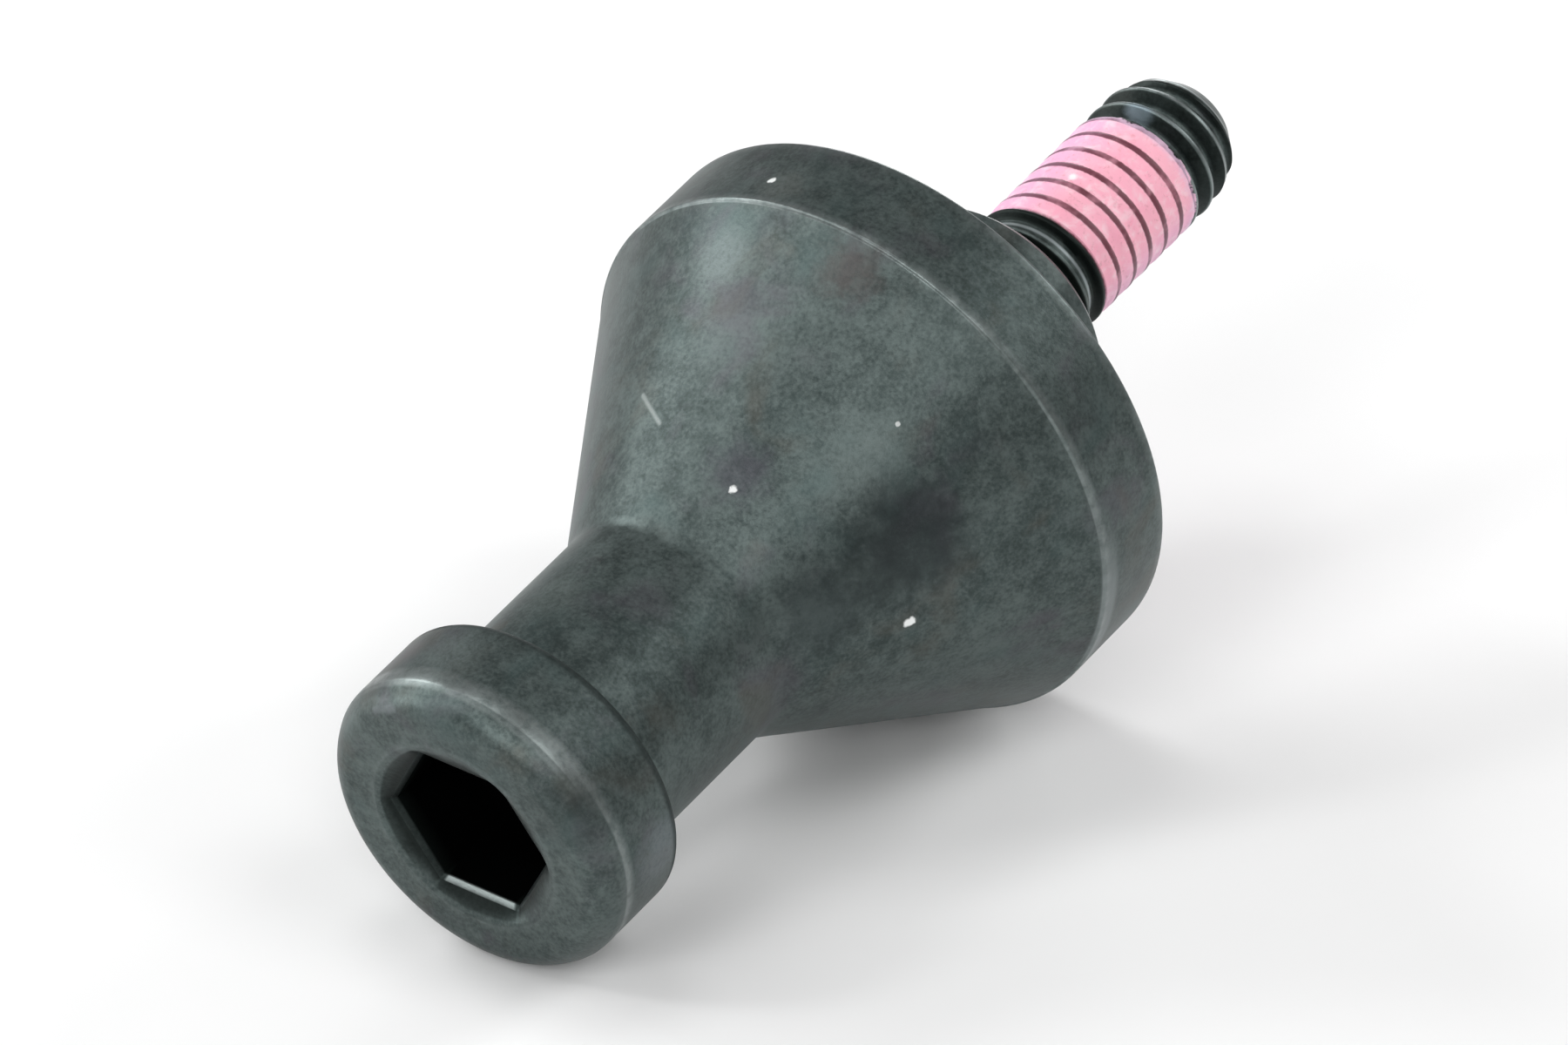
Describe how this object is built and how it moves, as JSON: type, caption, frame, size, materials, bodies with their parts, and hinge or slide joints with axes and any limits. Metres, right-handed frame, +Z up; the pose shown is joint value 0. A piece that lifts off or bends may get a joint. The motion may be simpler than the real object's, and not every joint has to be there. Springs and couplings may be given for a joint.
{
  "type": "fixing pin",
  "caption": "One-piece steel fixing pin: threaded stud with thread-lock patch, spigot, round flange with rim band, guide cone, neck and round head with hex socket, lying on its side",
  "frame": {"origin": "centre of the pin's bounding box in plan, on the surface that the pin lies on", "axes": "+Z up, +X across the pin, +Y from the head towards the threaded stud. The pin's own axis lies in the YZ plane, raised 12.8 degrees towards the stud, because the pin rests on its rim band and on the edge of its head"},
  "size_m": [0.0318, 0.0638, 0.032],
  "materials": {
    "dark_steel": "dark grey-green black-oxide finish, satin, with a pink thread-lock patch on the stud"
  },
  "bodies": {
    "root": {"fixing_pin": "dark_steel"}
  },
  "joints": []
}
